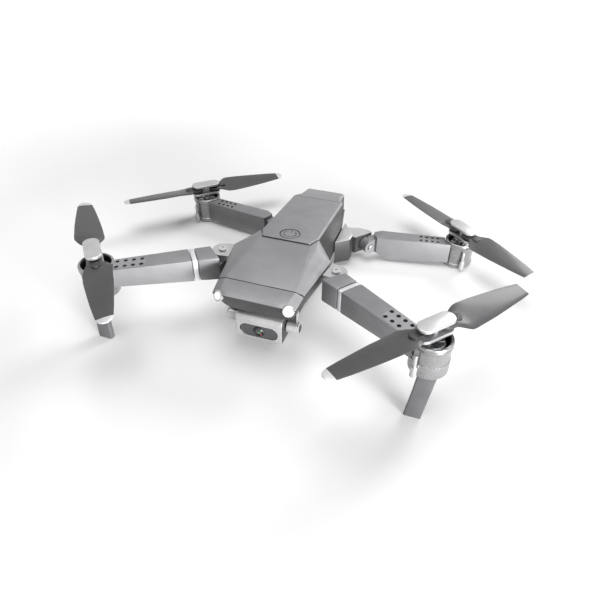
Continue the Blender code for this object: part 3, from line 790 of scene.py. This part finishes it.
for side, word in SIDES:
    motor_cup("front", side, word, FRONT_MOTOR, FRONT_RIM, FRONT_BASE, 240.0)
    motor_cup("rear", side, word, REAR_MOTOR, REAR_RIM, REAR_BASE, 290.0)
print("motor cups: 4")

# %% [markdown]
# ## Front arms
# A front arm is a boxy tapering moulding with a bright band let in near its root. It swings on an upright pin
# between the two ears of a bracket on the hood's side. The top near the motor carries a lighter panel with two
# rows of four vent holes, which let the motor driver breathe, and they are cut as real pockets.

# %% Front arm outlines
HINGE = (32.5, -27.0)
FRONT_EDGE = ((28.4, -39.5), (74.0, -66.6))
BACK_EDGE = ((38.3, -30.3), (79.7, -58.1))
ARM_TOP = 43.5


def front_base(x, y):
    share = math.dist((x, y), FRONT_EDGE[0]) / math.dist(*FRONT_EDGE)
    return 29.4 + 3.6 * min(share, 1.0)


def across(distance):
    return along(*FRONT_EDGE, distance), along(*BACK_EDGE, distance - 2.3)


def vent_holes(start, step, row, count=4):
    """Centres of two rows of holes, from a first point, along one direction and across it."""
    found = []
    for i in range(count):
        for j in (-0.5, 0.5):
            x = start[0] + step[0] * i + row[0] * j
            found.append((x, start[1] + step[1] * i + row[1] * j))
    return found


# %% Front arms
for side, word in SIDES:
    body = f"front_arm_{word}"
    wall = [(28.6, -20.4), (26.8, -32.2)]
    ear = [wall[0]] + arc(HINGE, 6.0, 81, -99, 25) + [wall[1]]
    piece(
        f"shoulder_bracket_{word}",
        prism(ear, 26.0, 30.2),
        "fuselage",
        SILVER,
        side,
        (f"front_bracket_{word}",),
        joins=[prism(ear, 36.6, 40.4), prism([wall[0], (29.8, -20.6), (28.0, -32.4), wall[1]], 26.4, 40.0)],
        cuts=[rod((*HINGE, 20.0), (*HINGE, 50.0), 1.6)],
    )
    pin = [(0, 26.0), (1.3, 26.0), (1.3, 40.7), (2.3, 40.7), (2.3, 41.3), (1.9, 41.8), (0.9, 41.8), (0.9, 41.3), (0, 41.3)]
    piece(
        f"shoulder_pin_{word}",
        turned(pin, (*HINGE, 0.0)),
        "fuselage",
        STEEL,
        side,
        (f"front_hinge_pin_{word}",),
    )
    root_front, root_back = across(11.3)
    piece(
        f"arm_root_{word}",
        prism([FRONT_EDGE[0], root_front, root_back, BACK_EDGE[0]], front_base, ARM_TOP),
        body,
        ARM,
        side,
        (f"front_arm_root_{word}",),
        edge=0.6,
        joins=[prism(stadium((33.2, -32.0), 17.0, 7.0, -83.0), 30.5, 36.3)],
        cuts=[rod((*HINGE, 20.0), (*HINGE, 50.0), 1.6)],
    )
    band_front, band_back = across(11.6)
    end_front, end_back = across(14.3)
    piece(
        f"arm_band_{word}",
        prism([band_front, end_front, end_back, band_back], front_base, ARM_TOP),
        body,
        BAND,
        side,
        (f"front_arm_band_{word}",),
        edge=0.5,
    )
    start_front, start_back = across(14.6)
    collar = arc(FRONT_MOTOR, 9.8, 216.7, 142.7, 15)
    holes = vent_holes((66.0, -55.4), (3.6, -2.2), (2.1, 4.4))
    pockets = merged(*[rod((x, y, ARM_TOP - 2.5), (x, y, ARM_TOP + 2), 1.1, 24) for x, y in holes])
    piece(
        f"arm_beam_{word}",
        prism([start_front] + collar + [start_back], front_base, ARM_TOP),
        body,
        ARM,
        side,
        (f"front_arm_beam_{word}",),
        edge=0.6,
        cuts=[pockets],
    )
    panel_centre = (holes[0][0] / 2 + holes[-1][0] / 2, holes[0][1] / 2 + holes[-1][1] / 2)
    piece(
        f"vent_panel_{word}",
        prism(stadium(panel_centre, 16.6, 9.0, -31.4), ARM_TOP - 0.2, ARM_TOP + 0.05),
        body,
        VENT_PANEL,
        side,
        cuts=[pockets],
    )
    # Black rods in the bottoms of the vent holes are painted shade inside the holes.
    vent_shade_plugs = merged(*[rod((x, y, ARM_TOP - 2.4), (x, y, ARM_TOP - 0.9), 1.08, 24) for x, y in holes])
    piece(f"vent_dark_{word}", vent_shade_plugs, body, RUBBERY, side)
print("front arms with", len(holes), "vent holes each")

# %% [markdown]
# ## Landing legs
# A leg hangs from each front cup. It is a flat moulded blade that kicks forward to its foot, with a slim rim
# round its faces.

# %% Landing legs
for side, word in SIDES:
    foot = [(81.5, -75.5, 0.0), (89.9, -75.5, 0.0), (89.9, -72.3, 0.0), (81.5, -72.3, 0.0)]
    knee = [(83.5, -73.0, 14.0), (92.0, -72.5, 14.0), (92.0, -69.2, 14.0), (83.5, -69.7, 14.0)]
    top = [(84.8, -70.8, 24.8), (93.6, -70.2, 24.8), (93.6, -63.4, 24.8), (84.8, -64.0, 24.8)]
    piece(
        f"leg_{word}",
        loft([foot, knee, top]),
        f"front_arm_{word}",
        LEG,
        side,
        (f"landing_leg_{word}",),
        edge=0.6,
    )
print("legs: 2")

# %% [markdown]
# ## Rear arms
# The rear arms sit low. Each turns on a slanted, level screw through a round knuckle, so it swings down and
# forward and ends under the front arm with its rotor facing the ground. A neck joins knuckle and beam, and a
# wedge-shaped bracket carries the screw.

# %% Rear arms
PIVOT = Vector((33.0, 50.0, 10.0))
SLANT = math.radians(-40.5)
AXIS = Vector((math.cos(SLANT), math.sin(SLANT), 0.0))
LATERAL = Vector((-AXIS.y, AXIS.x, 0.0))


def hinge_spot(t, s):
    found = PIVOT + AXIS * t + LATERAL * s
    return found.x, found.y


KNEE_X = 48.0


def rear_base(x, y):
    if x < KNEE_X:
        return 1.2 + 0.55 * (KNEE_X - x)
    return 1.2 + 2.2 * min((x - KNEE_X) / (REAR_MOTOR[0] - KNEE_X), 1.0)


for side, word in SIDES:
    body = f"rear_arm_{word}"
    block = [(15.8, 31.0), (24.3, 37.6), (24.5, 43.9), (23.0, 46.0), (15.8, 57.0)]
    lug = [(16.4, 47.0), hinge_spot(-2.8, -7.5), hinge_spot(-2.8, 5.2), hinge_spot(-6.0, 5.2), (25.0, 58.6), (16.4, 56.4)]
    bracket = piece(
        f"tail_bracket_{word}",
        prism(block, 3.2, 19.6),
        "fuselage",
        SILVER,
        side,
        (f"rear_bracket_{word}",),
        edge=0.6,
        joins=[prism(lug, 4.4, 16.2)],
        cuts=[rod(PIVOT - AXIS * 6.4, PIVOT + AXIS * 8, 1.6)],
    )
    # Faces of the bracket that do not face up get the graphite finish: painted shade under the battery pack, leaving
    # only the top light.
    second_finish(bracket, DARK, lambda spot, normal: normal.z < 0.5)
    screw = [(0, -6.1), (1.3, -6.1), (1.3, 4.5), (2.2, 4.5), (2.2, 5.2), (1.8, 5.5), (0.9, 5.5), (0.9, 5.1), (0, 5.1)]
    piece(
        f"tail_screw_{word}",
        turned(screw, PIVOT, AXIS),
        "fuselage",
        STEEL,
        side,
        (f"rear_hinge_pin_{word}",),
    )
    collar = arc(REAR_MOTOR, 9.8, 239.0, 182.3, 15)
    neck = [hinge_spot(-2.3, 2.2), hinge_spot(3.9, -2.0), hinge_spot(3.9, 3.4), (42.0, 50.6), (42.0, 57.2), (35.6, 55.7)]
    beam_start = [(37.6, 51.4), (39.6, 48.4), (KNEE_X, 49.5)]
    holes = vent_holes((66.5, 57.6), (3.55, 0.45), (-0.6, 4.2))
    pockets = merged(*[rod((x, y, 14.5), (x, y, 19.0), 1.05, 24) for x, y in holes])
    piece(
        f"tail_beam_{word}",
        prism(beam_start + collar + [(KNEE_X, 59.8), (40.5, 58.9), (36.2, 55.6)], rear_base, 17.0),
        body,
        ARM,
        side,
        (f"rear_arm_beam_{word}",),
        edge=0.6,
        joins=[prism(neck, 5.2, 14.8), rod(PIVOT - AXIS * 2.4, PIVOT + AXIS * 4.2, 4.6, 40)],
        cuts=[pockets, rod(PIVOT - AXIS * 8, PIVOT + AXIS * 8, 1.6)],
    )
    # Black rods in the bottoms of the vent holes are painted shade inside the holes.
    vent_shade_plugs = merged(*[rod((x, y, 14.6), (x, y, 16.2), 1.03, 24) for x, y in holes])
    piece(f"tail_vent_dark_{word}", vent_shade_plugs, body, RUBBERY, side)
print("rear arms: 2")

# %% [markdown]
# ## Rotors
# A folding rotor is a bar on the motor shaft, a cap above it, and between them two blades, each free to swing on
# its own screw. A blade has a thick round root, a wide shoulder and a long taper, and its pitch flattens towards
# the tip. All four rotors share one hand of blade. The last few
# millimetres are printed silver, so that the spinning disc can be seen.


# %% Blade shape
def blade_rings(centre, degrees, root_z, handed):
    stations = [
        (2.0, -1.0, 1.0, 1.0, 0.0),
        (2.3, -1.8, 1.8, 1.0, 0.0),
        (3.0, -2.85, 2.85, 1.0, 0.0),
        (4.0, -3.6, 3.6, 1.0, 0.0),
        (5.4, -4.05, 4.05, 1.0, 0.0),
        (9.2, -4.1, 4.3, 1.0, 0.0),
        (10.6, -4.8, 4.8, 0.9, 2.5),
        (12.0, -6.1, 5.7, 0.68, 5.0),
        (14.0, -7.4, 6.6, 0.46, 8.4),
        (15.4, -8.0, 7.1, 0.42, 10.4),
        (18.0, -7.9, 7.3, 0.41, 12.0),
        (21.0, -7.6, 7.2, 0.41, 12.0),
        (25.0, -7.3, 7.2, 0.40, 11.4),
        (30.0, -6.9, 6.9, 0.38, 10.4),
        (36.0, -6.2, 6.5, 0.36, 9.4),
        (42.0, -5.4, 6.0, 0.34, 8.4),
        (48.0, -4.6, 5.4, 0.31, 7.2),
        (53.0, -3.8, 4.7, 0.28, 5.4),
        (54.4, -3.5, 4.5, 0.27, 5.2),
        (56.0, -3.0, 4.1, 0.26, 5.0),
        (57.2, -2.2, 3.3, 0.24, 5.0),
        (58.0, -1.0, 2.1, 0.20, 5.0),
    ]
    turn = math.radians(degrees)
    rings = []
    for out, low, high, thick, pitch in stations:
        half = 1.65 * thick
        slope = math.tan(math.radians(pitch)) * handed
        ring = []
        for share, lift in ((0, 0.25), (0.06, 0.6), (0.22, 0.95), (0.45, 1.0), (0.72, 0.8), (0.93, 0.45), (1, 0.2)):
            ring.append((low + share * (high - low), half * lift))
        ring += [(v, -w) for v, w in reversed(ring)]
        placed = []
        for v, w in ring:
            x = centre[0] + out * math.cos(turn) - v * math.sin(turn)
            y = centre[1] + out * math.sin(turn) + v * math.cos(turn)
            placed.append((x, y, root_z + 1.65 + w - slope * v))
        rings.append(placed)
    return rings


# %% Hubs, caps and blades
def rotor(end, side, word, centre, rim, degrees):
    base = rim + 1.6
    hub = f"{end}_hub_{word}"
    pins = []
    for heading in (degrees, degrees + 180.0):
        turn = math.radians(heading)
        pins.append((centre[0] + 6.0 * math.cos(turn), centre[1] + 6.0 * math.sin(turn)))
    posts = [rod((*pin, base + 1.0), (*pin, base + 5.6), 1.2) for pin in pins]
    piece(
        f"{end}_hub_bar_{word}",
        prism(stadium(centre, 20.0, 8.5, degrees), base, base + 1.8),
        hub,
        SILVER,
        side,
        (f"{end}_hub_base_{word}",),
        edge=0.35,
        joins=[rod((*centre, base + 1.0), (*centre, base + 5.4), 1.6)] + posts,
    )
    outline = stadium(centre, 20.0, 8.5, degrees)
    piece(
        f"{end}_hub_top_{word}",
        prism(outline, base + 5.9, base + 7.6),
        hub,
        SILVER,
        side,
        (f"{end}_hub_cap_{word}",),
        edge=0.5,
        edge_steps=4,
    )
    screws = []
    for pin in pins:
        head = [(0, 0), (1.7, 0), (1.7, 0.5), (1.3, 0.85), (0.6, 0.85), (0.6, 0.5), (0, 0.5)]
        screws.append(turned([(r, -z) for r, z in head], (*pin, base), steps=24))
    collar = turned([(0, 0), (2.6, 0), (2.6, -0.5), (2.2, -0.45), (0, -0.45)], (*centre, base), steps=24)
    piece(f"{end}_hub_screws_{word}", merged(*screws, collar), hub, STEEL, side)
    for letter, heading, pin in (("a", degrees, pins[0]), ("b", degrees + 180.0, pins[1])):
        body = f"{end}_blade_{letter}_{word}"
        blade = piece(
            f"{end}_rotor_blade_{letter}_{word}",
            loft(blade_rings(centre, heading, base + 2.1, -side)),
            body,
            BLADE,
            side,
            (body,),
            cuts=[rod((*pin, base - 2), (*pin, base + 9), 1.5)],
        )
        way = math.radians(heading)
        boss_spot = (centre[0] + 10.6 * math.cos(way), centre[1] + 10.6 * math.sin(way))
        boss = stadium(boss_spot, 8.0, 5.2, heading)
        piece(
            f"{end}_blade_boss_{letter}_{word}",
            prism(boss, base + 3.0, base + 5.35),
            body,
            RUBBERY,
            side,
            edge=0.4,
        )
        hub_spot = (centre[0] * side, centre[1])
        second_finish(blade, PALE_TIP, lambda spot, normal: math.dist(spot[:2], hub_spot) > 54.2)


for side, word in SIDES:
    rotor("front", side, word, FRONT_MOTOR, FRONT_RIM, 49.0)
    rotor("rear", side, word, REAR_MOTOR, REAR_RIM, -41.0)
print("rotors: 4, blades: 8")

# %% [markdown]
# ## Stage, lamps and camera
# The craft stands on a white studio sweep. A large soft lamp overhead shapes the tops, a broad one from the
# front right lights the faces turned that way, and a pale world fills the rest. To the camera and in
# reflections the sweep shows a little of its own light, so it reads as white while it keeps the shadow.

# %% What the camera, polished faces and glass see
def seen_plainly(tree):
    """One where a ray comes from the camera, a polished face or glass, and nought for the light itself."""
    path = add_node(tree, "ShaderNodeLightPath")
    seen = path.outputs["Is Camera Ray"]
    for also in ("Is Glossy Ray", "Is Transmission Ray"):
        either = add_node(tree, "ShaderNodeMath", {"operation": "MAXIMUM"}, {0: seen, 1: path.outputs[also]})
        seen = either.outputs[0]
    return seen


# %% Floor and backdrop
sweep_material = bpy.data.materials.new("studio_sweep_matt_paint")
sweep_material.use_nodes = True
tree = sweep_material.node_tree
shader = tree.nodes["Principled BSDF"]
shader.inputs["Roughness"].default_value = 0.95
shader.inputs["Specular IOR Level"].default_value = 0.1
spot = add_node(tree, "ShaderNodeTexCoord").outputs["Object"]
mottle = add_node(tree, "ShaderNodeTexNoise", {"Scale": 12.0, "Detail": 2.0}, {"Vector": spot})
ramp = add_node(tree, "ShaderNodeValToRGB", {}, {"Fac": mottle.outputs["Fac"]})
ramp.color_ramp.elements[0].color = linear("#f2f2f2")
ramp.color_ramp.elements[1].color = linear("#f6f6f6")
seen = seen_plainly(tree)
paint = add_node(
    tree,
    "ShaderNodeMix",
    {"data_type": "RGBA", 6: linear("#a8a8a8")},
    {0: seen, 7: ramp.outputs["Color"]},
)
tree.links.new(paint.outputs[2], shader.inputs["Base Color"])
away = add_node(tree, "ShaderNodeVectorMath", {"operation": "LENGTH"}, {0: spot})
far = add_node(
    tree,
    "ShaderNodeMapRange",
    {"From Min": 0.25, "From Max": 0.9, "To Min": 0.05, "To Max": 0.8},
    {"Value": away.outputs["Value"]},
)
strength = add_node(
    tree,
    "ShaderNodeMath",
    {"operation": "MULTIPLY"},
    {0: seen, 1: far.outputs["Result"]},
)
shader.inputs["Emission Color"].default_value = linear("#ffffff")
tree.links.new(strength.outputs[0], shader.inputs["Emission Strength"])
mesh = bpy.data.meshes.new("sweep")
mesh.from_pydata([(-6, -6, 0), (6, -6, 0), (6, 6, 0), (-6, 6, 0)], [], [[0, 1, 2, 3]])
sweep = bpy.data.objects.new("sweep", mesh)
bpy.context.scene.collection.objects.link(sweep)
mesh.materials.append(sweep_material)
print("sweep laid")


# %% Lamps and world
def lamp(name, place, width, tall, power, target=(0.0, 0.0, 0.02)):
    data = bpy.data.lights.new(name, "AREA")
    data.shape = "RECTANGLE"
    data.size = width
    data.size_y = tall
    data.energy = power
    obj = bpy.data.objects.new(name, data)
    obj.location = place
    obj.rotation_euler = (Vector(target) - Vector(place)).to_track_quat("-Z", "Y").to_euler()
    bpy.context.scene.collection.objects.link(obj)
    return obj


lamp("overhead_soft", (-0.1, 0.05, 1.35), 0.9, 0.9, 9.5)
lamp("rear_right_soft", (0.45, 1.05, 0.85), 0.5, 0.5, 8.0)
lamp("right_soft", (1.08, -0.85, 0.15), 0.6, 0.24, 44.0)
world = bpy.data.worlds.new("studio_air")
bpy.context.scene.world = world
world.use_nodes = True
tree = world.node_tree
tree.nodes.clear()
fill = add_node(tree, "ShaderNodeBackground", {"Color": linear("#ffffff"), "Strength": 0.2})
white = add_node(tree, "ShaderNodeBackground", {"Color": linear("#ffffff"), "Strength": 1.0})
mix = add_node(
    tree,
    "ShaderNodeMixShader",
    {},
    {0: seen_plainly(tree), 1: fill.outputs[0], 2: white.outputs[0]},
)
add_node(tree, "ShaderNodeOutputWorld", {}, {"Surface": mix.outputs[0]})
bpy.context.scene.view_settings.view_transform = "Standard"

# %% Camera
AZIMUTH = math.radians(19.002)
ELEVATION = math.radians(39.003)
view = bpy.data.cameras.new("view")
view.lens = 32.52
view.sensor_width = 36.0
eye = bpy.data.objects.new("view", view)
eye.location = (0.089469, (-250.402 + SHIFT_Y) * MM, 0.207431)
way = Vector((-math.sin(AZIMUTH) * math.cos(ELEVATION), math.cos(AZIMUTH) * math.cos(ELEVATION), -math.sin(ELEVATION)))
eye.rotation_euler = way.to_track_quat("-Z", "Y").to_euler()
view.clip_start = 0.01
bpy.context.scene.collection.objects.link(eye)
bpy.context.scene.camera = eye
print("camera at", [round(v, 3) for v in eye.location])
